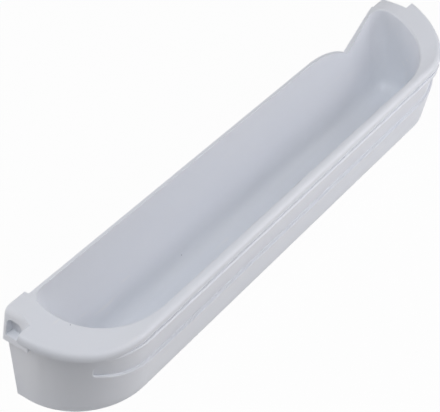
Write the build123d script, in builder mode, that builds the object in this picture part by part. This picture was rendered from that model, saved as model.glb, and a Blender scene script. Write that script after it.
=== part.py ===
from build123d import *
import os
from math import radians, tan

# A fridge door shelf, moulded in one piece: a trough hung inside a flared skirt, with a rolled rim
# and a hook at the back of each end. X runs along the door, -Y faces the room, +Y lies on the door.
# Sizes are in millimetres and angles in degrees.

# Outer skirt, measured at the base
body_length = 470.0
body_depth = 63.5
end_flat = 9.0
wall = 2.5
base_round = 1.0
front_lean = 10.8
end_lean = 1.4

# Rim, level along the front and climbing along both ends
front_height = 60.0
rim_start = 1.0
rim_run = 53.3
rim_bend = 45.0
lip_reach = 9.0
lip_side_reach = 11.5
lip_drop = 6.0
lip_round = 4.5
lip_edge = 0.7
lip_end = 45.0
crest_round = 1.5
ridge_bevel = 0.8
valley_height = 1.5
valley_depth = 1.2

# Trough inside the skirt
floor_thickness = 2.5
rim_width = 6.8
end_width = 18.2
trough_lean = 2.5
back_lean = 6.0
trough_flat = 13.5
trough_stretch = 1.3
trough_round = 12.0
floor_round = 11.0

# Back wall, with a dip beside one end, measured from its ear, where the wall turns outward
back_drop = 0.9
ear_inset = 4.3
ear_run = 5.0
ear_round = 40.0
dip_run = 47.5
dip_length = 56.0
dip_depth = 17.0

# Recess along the front, measured from the ridge and the ends, narrowing round both corners
recess_drop = 4.0
recess_height = 21.5
recess_turn = 67.0
recess_setback = 16.0
recess_depth = 2.6
recess_end = 10.5
recess_round = 4.0
recess_edge = 0.7

# Hooks, each with a blind slot that opens outward above a sill
hook_height = 76.5
hook_drop = 23.0
hook_flare = 3.5
hook_lean = 14.0
hook_reach = 4.0
hook_round = 6.0
hook_edge = 2.5
hook_leg = 3.5
slot_sill = 4.0
slot_width = 13.0
slot_height = 12.4
slot_depth = 7.5
slot_round = 4.0

# Places that follow from the sizes
half_length = body_length / 2
rim_climb = (hook_height - front_height) / rim_run
ridge_height = front_height - lip_drop - valley_height
bevel_height = ridge_height - ridge_bevel
bevel_reach = bevel_height * tan(radians(front_lean))
front = -(body_depth + hook_reach - max(lip_reach, bevel_reach)) / 2
back = front + body_depth
rear = back + hook_reach
corner = body_depth - end_flat
hook_front = front + lip_end
hook_bottom = hook_height - hook_drop
hook_foot = half_length + hook_flare
back_height = hook_height - back_drop
hook_top = hook_foot - hook_drop * tan(radians(hook_lean))
crest_half = half_length - end_width
crest_front = front - lip_reach + rim_width
ear = crest_half - ear_inset
ear_end = ear + ear_run
dip_bottom = ear - dip_run
dip_start = dip_bottom - dip_length
dip_height = back_height - dip_depth
recess_top = ridge_height - recess_drop
recess_bottom = recess_top - recess_height
hook_inside = crest_half - wall
bay_end = crest_half + wall
bay_slope = hook_reach / (hook_inside - dip_bottom)
high = hook_height + lip_drop
far = body_length
hair = 0.01


# A plan with two rounded front corners, open-ended toward the back
def rounded_plan(half, front_edge, corner_radius, height=0):
    corner_x = half - corner_radius
    corner_y = front_edge + corner_radius
    with BuildSketch(Plane.XY.offset(height)) as plan:
        with BuildLine():
            Polyline((-half, corner_y), (-half, far), (half, far), (half, corner_y))
            CenterArc((corner_x, corner_y), corner_radius, 270, 90)
            Line((corner_x, front_edge), (-corner_x, front_edge))
            CenterArc((-corner_x, corner_y), corner_radius, 180, 90)
        make_face()
    return plan.sketch


# The skirt's outer face moved in by the given amount, leaning outward as it rises
def skirt_block(inset):
    spread = high * tan(radians(end_lean))
    reach = high * tan(radians(front_lean))
    with BuildPart() as block:
        add(rounded_plan(half_length - inset, front + inset, corner - inset))
        add(rounded_plan(half_length + spread - inset, front - reach + inset, corner - inset, high))
        loft(ruled=True)
    return block.part


# The lip's outer face moved in by the given amount
def lip_block(inset):
    half = half_length + lip_side_reach - inset
    with BuildPart() as block:
        with BuildSketch():
            add(rounded_plan(half, front - lip_reach + inset, corner + lip_reach - inset))
        extrude(amount=high)
    return block.part


# How far an edge's middle lies below the rim's top
def rim_gap(edge):
    point = edge @ 0.5
    climb = (point.Y - front - rim_start) * rim_climb
    return min(front_height + max(climb, 0), hook_height) - point.Z


# Whether an edge's middle lies on the given block's outside
def lies_on(edge, block):
    middle = Vertex(*(edge @ 0.5))
    return min(face.distance_to(middle) for face in block.faces()) < hair


# All that lies under the rim's top, lowered by the given amount
def under_rim(drop):
    with BuildPart() as block:
        with BuildSketch(Plane.YZ):
            with BuildLine():
                FilletPolyline(
                    (-far, front_height - drop),
                    (front + rim_start, front_height - drop),
                    (front + rim_start + rim_run, hook_height - drop),
                    (far, hook_height - drop),
                    radius=rim_bend,
                )
                Polyline((far, hook_height - drop), (far, -far), (-far, -far), (-far, front_height - drop))
            make_face()
        extrude(amount=far, both=True)
    return block.part


# The trough's plan at the given height, grown by the given amount
def trough_plan(growth, height):
    half = crest_half - (hook_height - height) * tan(radians(trough_lean)) + growth
    front_edge = crest_front + (front_height - height) * tan(radians(front_lean)) - growth
    back_edge = back - wall - (back_height - height) * tan(radians(back_lean)) + growth
    corner_y = back_edge - growth - trough_flat
    turn_y = corner_y - front_edge
    turn_x = turn_y * trough_stretch
    corner_x = half - turn_x
    with BuildSketch(Plane.XY.offset(height)) as plan:
        with BuildLine():
            Polyline(
                (-half, corner_y),
                (-half, back_edge),
                (dip_bottom, back_edge),
                (half, back_edge + (half - dip_bottom) * bay_slope),
                (half, corner_y),
            )
            EllipticalCenterArc((corner_x, corner_y), turn_x, turn_y, 270)
            Line((corner_x, front_edge), (-corner_x, front_edge))
            EllipticalCenterArc((-corner_x, corner_y), turn_x, turn_y, 180)
        make_face()
        end_points = plan.vertices().filter_by(lambda point: abs(abs(point.X) - half) < hair)
        fillet(end_points.filter_by(lambda point: point.Y > corner_y + hair), trough_round + growth)
        if growth == 0:
            fillet(plan.vertices().filter_by(lambda point: abs(point.X - dip_bottom) < hair), ear_round)
    return plan.sketch


# The trough's inside, grown by the given amount
def trough_block(growth):
    with BuildPart() as block:
        add(trough_plan(growth, floor_thickness - growth))
        add(trough_plan(growth, high))
        loft(ruled=True)
        fillet(block.faces().sort_by(Axis.Z)[0].edges(), floor_round + growth)
    return block.part


# What lies before the skirt's back wall
def before_back():
    with BuildPart() as block:
        with BuildSketch():
            with BuildLine():
                Polyline(
                    (-far, -far),
                    (-far, back),
                    (dip_bottom, back),
                    (hook_inside, rear),
                    (bay_end, rear),
                    (bay_end, back),
                    (far, back),
                    (far, -far),
                    close=True,
                )
            make_face()
        extrude(amount=high)
    return block.part


# The recess as seen from the front, grown by the given amount
def recess_view(growth):
    low = recess_bottom - growth
    top = recess_top + growth
    turn = half_length - recess_turn
    tip = half_length - recess_setback + growth
    tip_low = recess_top - recess_end - growth
    with BuildPart() as block:
        with BuildSketch(Plane.XZ) as view:
            with BuildLine():
                Line((-turn, low), (turn, low))
                TangentArc((turn, low), (tip, tip_low), tangent=(1, 0))
                Polyline((tip, tip_low), (tip, top), (-tip, top), (-tip, tip_low))
                TangentArc((-turn, low), (-tip, tip_low), tangent=(-1, 0))
            make_face()
            fillet(view.vertices().filter_by(lambda point: abs(point.X) > tip - hair), recess_round)
        extrude(amount=far)
    return block.part


# The skirt's wall at the recess, to the given depth
def recess_band(growth, depth):
    with BuildPart() as block:
        add(skirt_block(0))
        add(skirt_block(depth), mode=Mode.SUBTRACT)
        add(recess_view(growth), mode=Mode.INTERSECT)
    return block.part


# The room that the hooks take from the skirt, reaching forward by the given amount
def hook_room(reach):
    with BuildPart() as block:
        with Locations((hook_inside, hook_front - reach, hook_bottom)):
            Box(far, far, high, align=Align.MIN)
        mirror(about=Plane.YZ)
    return block.part


# The rolled rim, still solid, one half mirrored
with BuildPart() as rim:
    add(lip_block(0))
    add(under_rim(0), mode=Mode.INTERSECT)
    add(under_rim(lip_drop), mode=Mode.SUBTRACT)
    split(bisect_by=Plane.XZ.offset(-hook_front), keep=Keep.TOP)
    split(bisect_by=Plane.YZ, keep=Keep.TOP)
    upright = rim.faces().filter_by(lambda face: abs(face.normal_at().Z) < hair)
    outside = upright.filter_by(lambda face: face.center().X > hair and face.center().Y < hook_front - wall)
    fillet(outside.edges().filter_by(lambda edge: rim_gap(edge) < lip_drop / 4), lip_round)
    fillet(outside.edges().filter_by(lambda edge: rim_gap(edge) > lip_drop - hair), lip_edge)
    mirror(about=Plane.YZ)

# The neck that carries the rim, set back from the lip to leave a valley
with BuildPart() as rim_neck:
    add(lip_block(valley_depth))
    add(under_rim(lip_drop), mode=Mode.INTERSECT)

# The skirt's outline from the ridge's bevel upward, drawn in as it rises
with BuildPart() as ridge_core:
    bevel_half = half_length + bevel_height * tan(radians(end_lean))
    bevel_front = front - bevel_reach
    add(rounded_plan(bevel_half, bevel_front, corner, bevel_height))
    add(rounded_plan(bevel_half - lip_drop, bevel_front + lip_drop, corner - lip_drop, bevel_height + lip_drop))
    loft(ruled=True)

# What lies outside the ridge's bevel
with BuildPart() as bevel_room:
    with Locations((0, 0, bevel_height)):
        Box(2 * far, 2 * far, lip_drop, align=(Align.CENTER, Align.CENTER, Align.MIN))
    add(ridge_core.part, mode=Mode.SUBTRACT)

# The room over the skirt, round the neck, that belongs to the rim
with BuildPart() as rim_room:
    Box(2 * far, 2 * far, high, align=(Align.CENTER, Align.CENTER, Align.MIN))
    add(under_rim(lip_drop + valley_height), mode=Mode.SUBTRACT)
    add(bevel_room.part)
    add(rim_neck.part, mode=Mode.SUBTRACT)
    split(bisect_by=Plane.XZ.offset(-hook_front), keep=Keep.TOP)

# The hooks, leaning inward as they rise
with BuildPart() as hooks:
    with BuildSketch(Plane.XZ.offset(-rear)) as hook_side:
        with BuildLine():
            Polyline(
                (hook_inside, hook_bottom),
                (hook_foot, hook_bottom),
                (hook_top, hook_height),
                (hook_inside, hook_height),
                close=True,
            )
        make_face()
        fillet(hook_side.vertices().group_by(Axis.Y)[-1].sort_by(Axis.X)[-1], hook_round)
    extrude(amount=rear - hook_front)
    hook_back = hooks.faces().sort_by(Axis.Y)[-1].edges()
    fillet(hook_back.sort_by(Axis.Z)[1:].filter_by(lambda edge: (edge @ 0.5).X > hook_inside + hair), hook_edge)
    mirror(about=Plane.YZ)
    add(under_rim(0), mode=Mode.INTERSECT)

# The slots in the hooks, rounded at the top
with BuildPart() as slots:
    with BuildSketch(Plane.YZ.offset(hook_foot - slot_depth)) as slot_side:
        with Locations((rear - hook_leg - slot_width / 2, hook_bottom + slot_sill)):
            Rectangle(slot_width, slot_height, align=(Align.CENTER, Align.MIN))
        fillet(slot_side.vertices().group_by(Axis.Y)[-1], slot_round)
    extrude(amount=far)
    mirror(about=Plane.YZ)

# The hollow between the skirt and the trough, open below
with BuildPart() as hollow:
    add(skirt_block(wall))
    split(bisect_by=Plane.XZ.offset(wall - back), keep=Keep.TOP)
    add(lip_block(wall), mode=Mode.INTERSECT)
    add(under_rim(wall), mode=Mode.INTERSECT)
    add(trough_block(wall), mode=Mode.SUBTRACT)
    add(hook_room(wall), mode=Mode.SUBTRACT)

# The hollow under the lip, outside the skirt
with BuildPart() as lip_hollow:
    add(lip_block(wall))
    add(under_rim(wall), mode=Mode.INTERSECT)
    add(skirt_block(0), mode=Mode.SUBTRACT)
    split(bisect_by=Plane.XZ.offset(wall - hook_front), keep=Keep.TOP)

# The space over the back wall, with the dip
with BuildPart() as back_space:
    with BuildSketch(Plane.XZ.offset(-far)):
        with BuildLine():
            Polyline(
                (-ear_end, high),
                (-ear_end, hook_height),
                (-ear, back_height),
                (dip_start, back_height),
            )
            TangentArc((dip_start, back_height), (dip_bottom, dip_height), tangent=(1, 0))
            FilletPolyline(
                (dip_bottom, dip_height),
                (ear, hook_height),
                (hook_foot, hook_height),
                radius=ear_round,
            )
            Polyline((hook_foot, hook_height), (hook_foot, high), (-ear_end, high))
        make_face()
    extrude(amount=far - back + wall + trough_round)

# All that lies under the rim's top and outside the trough, with the crest between them eased
with BuildPart() as crest_mould:
    add(under_rim(0))
    add(trough_block(0), mode=Mode.SUBTRACT)
    crest = crest_mould.edges(Select.LAST)
    fillet(crest.filter_by(lambda edge: rim_gap(edge) < crest_round), crest_round)

# The whole shelf, with the edges that show eased
skirt = skirt_block(0)
with BuildPart() as shelf:
    add(skirt)
    add(before_back(), mode=Mode.INTERSECT)
    fillet(shelf.faces().sort_by(Axis.Z)[0].edges(), base_round)
    add(rim_room.part, mode=Mode.SUBTRACT)
    add(rim.part)
    add(hook_room(0), mode=Mode.SUBTRACT)
    add(hooks.part)
    add(crest_mould.part, mode=Mode.INTERSECT)
    add(hollow.part, mode=Mode.SUBTRACT)
    add(lip_hollow.part, mode=Mode.SUBTRACT)
    add(recess_band(wall, recess_depth + wall))
    add(recess_band(0, recess_depth), mode=Mode.SUBTRACT)
    fillet(shelf.edges(Select.LAST).filter_by(lambda edge: lies_on(edge, skirt)), recess_edge)
    add(slots.part, mode=Mode.SUBTRACT)
    add(back_space.part, mode=Mode.SUBTRACT)

shelf.part.label = "door_shelf"
os.makedirs("parts", exist_ok=True)
export_step(shelf.part, "parts/door_shelf.step")
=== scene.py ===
import bmesh
import bpy
from math import radians
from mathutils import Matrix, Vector

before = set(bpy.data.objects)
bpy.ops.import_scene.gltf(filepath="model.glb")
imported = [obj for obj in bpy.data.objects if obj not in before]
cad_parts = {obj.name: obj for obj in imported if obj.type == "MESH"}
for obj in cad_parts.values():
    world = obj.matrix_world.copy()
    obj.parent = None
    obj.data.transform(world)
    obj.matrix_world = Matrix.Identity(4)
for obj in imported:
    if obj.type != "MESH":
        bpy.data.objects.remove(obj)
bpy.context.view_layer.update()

scene = bpy.context.scene
scene.view_settings.view_transform = "Standard"
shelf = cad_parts["door_shelf"]
plainWhite = (1.0, 1.0, 1.0, 1.0)
print("frame loaded:", len(shelf.data.polygons), "faces on the shelf")


# helpers for node trees
def addNode(tree, kind, **values):
    node = tree.nodes.new(kind)
    for key, value in values.items():
        if hasattr(node, key):
            setattr(node, key, value)
        else:
            node.inputs[key].default_value = value
    return node


def addMath(tree, operation, *values):
    node = addNode(tree, "ShaderNodeMath", operation=operation)
    for socket, value in zip(node.inputs, values):
        if isinstance(value, (int, float)):
            socket.default_value = value
        else:
            tree.links.new(value, socket)
    return node.outputs[0]


def newMaterial(name):
    material = bpy.data.materials.new(name)
    material.use_nodes = True
    material.node_tree.nodes.clear()
    return material, material.node_tree


# camera, solved from the shelf's straight edges
viewCamera = {
    "place": (-0.6262, -0.41694, 0.6473),  # metres
    "tilt": 50.2,  # degrees up from straight down
    "turn": -53.86,  # degrees about the vertical
    "focalPixels": 1300.0,
    "frameWidth": 440.0,  # pixels
    "sensor": 36.0,  # millimetres
    "nearest": 0.01,  # metres
}


def placeCamera(setup):
    data = bpy.data.cameras.new("shelfCamera")
    data.sensor_width = setup["sensor"]
    data.lens = setup["focalPixels"] / setup["frameWidth"] * setup["sensor"]
    data.clip_start = setup["nearest"]
    camera = bpy.data.objects.new("shelfCamera", data)
    camera.location = setup["place"]
    camera.rotation_euler = (radians(setup["tilt"]), 0, radians(setup["turn"]))
    scene.collection.objects.link(camera)
    scene.camera = camera


placeCamera(viewCamera)
print("camera placed")


# soft lamps from the right, the room, behind and above, under a faint sky
studioLight = {
    "skyColour": (0.95, 0.97, 1.0, 1.0),
    "skyStrength": 0.05,
    "lampAim": (0.0, 0.0, 0.03),
    "lamps": {
        # place and width in metres, power in watts
        "rightLamp": {"place": (0.72, -0.86, 0.45), "width": 0.8,
                      "power": 5.0, "colour": (0.98, 0.98, 1.0)},
        "roomLamp": {"place": (0.05, -0.85, 0.85), "width": 0.7,
                     "power": 3.3, "colour": (1.0, 0.96, 1.0)},
        "rearLamp": {"place": (-0.66, 0.91, 0.42), "width": 0.9,
                     "power": 4.4, "colour": (1.0, 0.95, 0.95)},
        "topLamp": {"place": (-0.56, 0.05, 1.14), "width": 0.5,
                    "power": 4.6, "colour": (0.92, 0.955, 1.0)},
    },
}


def seenStraight(tree):
    # 1 where the camera, a mirror or a clear piece looks, 0 for light that bounces
    path = addNode(tree, "ShaderNodeLightPath")
    straight = addMath(tree, "MAXIMUM", path.outputs["Is Camera Ray"], path.outputs["Is Glossy Ray"])
    return addMath(tree, "MAXIMUM", straight, path.outputs["Is Transmission Ray"])


def lightStudio(setup):
    world = bpy.data.worlds.new("faintSky")
    world.use_nodes = True
    tree = world.node_tree
    tree.nodes.clear()
    sky = addNode(tree, "ShaderNodeBackground", Color=setup["skyColour"], Strength=setup["skyStrength"])
    seen = addNode(tree, "ShaderNodeBackground", Color=plainWhite, Strength=1.0)
    blend = addNode(tree, "ShaderNodeMixShader")
    out = addNode(tree, "ShaderNodeOutputWorld")
    tree.links.new(seenStraight(tree), blend.inputs[0])
    tree.links.new(sky.outputs[0], blend.inputs[1])
    tree.links.new(seen.outputs[0], blend.inputs[2])
    tree.links.new(blend.outputs[0], out.inputs[0])
    scene.world = world
    for name, values in setup["lamps"].items():
        data = bpy.data.lights.new(name, "AREA")
        data.size = values["width"]
        data.energy = values["power"]
        data.color = values["colour"]
        lamp = bpy.data.objects.new(name, data)
        lamp.location = values["place"]
        aim = Vector(setup["lampAim"]) - Vector(values["place"])
        lamp.rotation_euler = aim.to_track_quat("-Z", "Y").to_euler()
        scene.collection.objects.link(lamp)


lightStudio(studioLight)
print("light set")


# pale floor that keeps a faint shadow
paleFloor = {
    "width": 12.0,  # metres
    "drop": 0.0003,  # below the shelf's base
    "colour": (0.7, 0.7, 0.7, 1.0),
    "whiteness": 0.97,  # share of plain white where it is seen
}


def layFloor(setup):
    form = bmesh.new()
    bmesh.ops.create_grid(form, x_segments=1, y_segments=1, size=setup["width"] / 2)
    bmesh.ops.translate(form, vec=(0, 0, -setup["drop"]), verts=form.verts)
    mesh = bpy.data.meshes.new("paleFloor")
    form.to_mesh(mesh)
    form.free()
    floor = bpy.data.objects.new("paleFloor", mesh)
    scene.collection.objects.link(floor)
    material, tree = newMaterial("paleFloor")
    matt = addNode(tree, "ShaderNodeBsdfDiffuse", Color=setup["colour"])
    white = addNode(tree, "ShaderNodeEmission", Color=plainWhite, Strength=1.0)
    blend = addNode(tree, "ShaderNodeMixShader")
    out = addNode(tree, "ShaderNodeOutputMaterial")
    share = addMath(tree, "MULTIPLY", seenStraight(tree), setup["whiteness"])
    tree.links.new(share, blend.inputs[0])
    tree.links.new(matt.outputs[0], blend.inputs[1])
    tree.links.new(white.outputs[0], blend.inputs[2])
    tree.links.new(blend.outputs[0], out.inputs[0])
    mesh.materials.append(material)


layFloor(paleFloor)
print("floor laid")


# cool white moulded plastic with a fine grain, light scuffs and a few specks
whitePlastic = {
    "colour": (0.89, 0.91, 0.945, 1.0),
    "flowColour": (0.865, 0.89, 0.935, 1.0),  # where the melt ran a little darker
    "scuffColour": (0.92, 0.93, 0.945, 1.0),
    "speckColour": (0.42, 0.43, 0.47, 1.0),
    "flowSize": 9.0,  # patterns per metre, as the other sizes
    "flowStretch": (0.35, 1.0, 1.6),  # long along the shelf
    "flowRange": (0.35, 0.65),  # of the noise, from none to full
    "grainSize": 1700.0,
    "grainDetail": 2.0,
    "grainDepth": 0.00003,  # metres
    "grainStrength": 0.35,
    "scuffSize": 90.0,
    "scuffStretch": (0.3, 2.4, 2.4),
    "scuffDetail": 5.0,
    "scuffRange": (0.6, 0.7),
    "scuffRoughness": 0.1,  # added to the plain roughness
    "patchSize": 14.0,  # scuffs keep to patches
    "patchRange": (0.48, 0.62),
    "speckSize": 45.0,
    "speckRadius": 0.00035,  # metres
    "speckCore": 0.5,  # share of the radius that is full dark
    "speckShare": 0.12,  # of the cells
    "marks": (  # place and radius in metres
        ((-0.06944, 0.02456, 0.0089), 0.0006),
        ((-0.2145, -0.0002, 0.0686), 0.0005),
    ),
    "markCore": 0.4,
    "roughness": (0.36, 0.44),  # plain, and where the melt ran darker
}


def blendColours(tree, share, first, second):
    node = addNode(tree, "ShaderNodeMix", data_type="RGBA")
    sockets = (node.inputs[0], node.inputs[6], node.inputs[7])  # factor and the two colours
    for socket, value in zip(sockets, (share, first, second)):
        if isinstance(value, tuple):
            socket.default_value = value
        else:
            tree.links.new(value, socket)
    return node.outputs[2]


def stepBetween(tree, value, low, high):
    # eased from 0 at low to 1 at high, which may be the smaller of the two
    node = addNode(tree, "ShaderNodeMapRange", interpolation_type="SMOOTHSTEP", clamp=True)
    tree.links.new(value, node.inputs["Value"])
    node.inputs["From Min"].default_value = low
    node.inputs["From Max"].default_value = high
    return node.outputs["Result"]


def noiseAt(tree, place, size, stretch=(1.0, 1.0, 1.0), detail=3.0, harshness=0.55):
    mapping = addNode(tree, "ShaderNodeMapping", Scale=stretch)
    noise = addNode(tree, "ShaderNodeTexNoise", Scale=size, Detail=detail, Roughness=harshness)
    tree.links.new(place, mapping.inputs["Vector"])
    tree.links.new(mapping.outputs[0], noise.inputs["Vector"])
    return noise.outputs["Fac"]


def speckMask(tree, place, setup):
    cells = addNode(tree, "ShaderNodeTexVoronoi", Scale=setup["speckSize"])
    tree.links.new(place, cells.inputs["Vector"])
    radius = setup["speckRadius"] * setup["speckSize"]
    dot = stepBetween(tree, cells.outputs["Distance"], radius, radius * setup["speckCore"])
    pick = addNode(tree, "ShaderNodeSeparateColor")
    tree.links.new(cells.outputs["Color"], pick.inputs[0])
    chosen = addMath(tree, "LESS_THAN", pick.outputs[0], setup["speckShare"])
    mask = addMath(tree, "MULTIPLY", dot, chosen)
    for spot, size in setup["marks"]:
        reach = addNode(tree, "ShaderNodeVectorMath", operation="DISTANCE")
        tree.links.new(place, reach.inputs[0])
        reach.inputs[1].default_value = spot
        mark = stepBetween(tree, reach.outputs["Value"], size, size * setup["markCore"])
        mask = addMath(tree, "MAXIMUM", mask, mark)
    return mask


def mouldPlastic(setup):
    material, tree = newMaterial("whitePlastic")
    place = addNode(tree, "ShaderNodeTexCoord").outputs["Object"]
    flow = noiseAt(tree, place, setup["flowSize"], setup["flowStretch"])
    flow = stepBetween(tree, flow, *setup["flowRange"])
    grain = noiseAt(tree, place, setup["grainSize"], detail=setup["grainDetail"])
    streaks = noiseAt(tree, place, setup["scuffSize"], setup["scuffStretch"], setup["scuffDetail"])
    streaks = stepBetween(tree, streaks, *setup["scuffRange"])
    patches = stepBetween(tree, noiseAt(tree, place, setup["patchSize"]), *setup["patchRange"])
    scuffs = addMath(tree, "MULTIPLY", streaks, patches)
    specks = speckMask(tree, place, setup)
    colour = blendColours(tree, flow, setup["colour"], setup["flowColour"])
    colour = blendColours(tree, scuffs, colour, setup["scuffColour"])
    colour = blendColours(tree, specks, colour, setup["speckColour"])
    low, high = setup["roughness"]
    rough = addMath(tree, "MULTIPLY_ADD", flow, high - low, low)
    rough = addMath(tree, "MULTIPLY_ADD", scuffs, setup["scuffRoughness"], rough)
    height = addMath(tree, "SUBTRACT", grain, scuffs)
    bump = addNode(tree, "ShaderNodeBump", Strength=setup["grainStrength"], Distance=setup["grainDepth"])
    skin = addNode(tree, "ShaderNodeBsdfPrincipled")
    out = addNode(tree, "ShaderNodeOutputMaterial")
    tree.links.new(height, bump.inputs["Height"])
    tree.links.new(colour, skin.inputs["Base Color"])
    tree.links.new(rough, skin.inputs["Roughness"])
    tree.links.new(bump.outputs[0], skin.inputs["Normal"])
    tree.links.new(skin.outputs[0], out.inputs[0])
    return material


shelf.material_slots[0].material = mouldPlastic(whitePlastic)
print("plastic on the shelf")
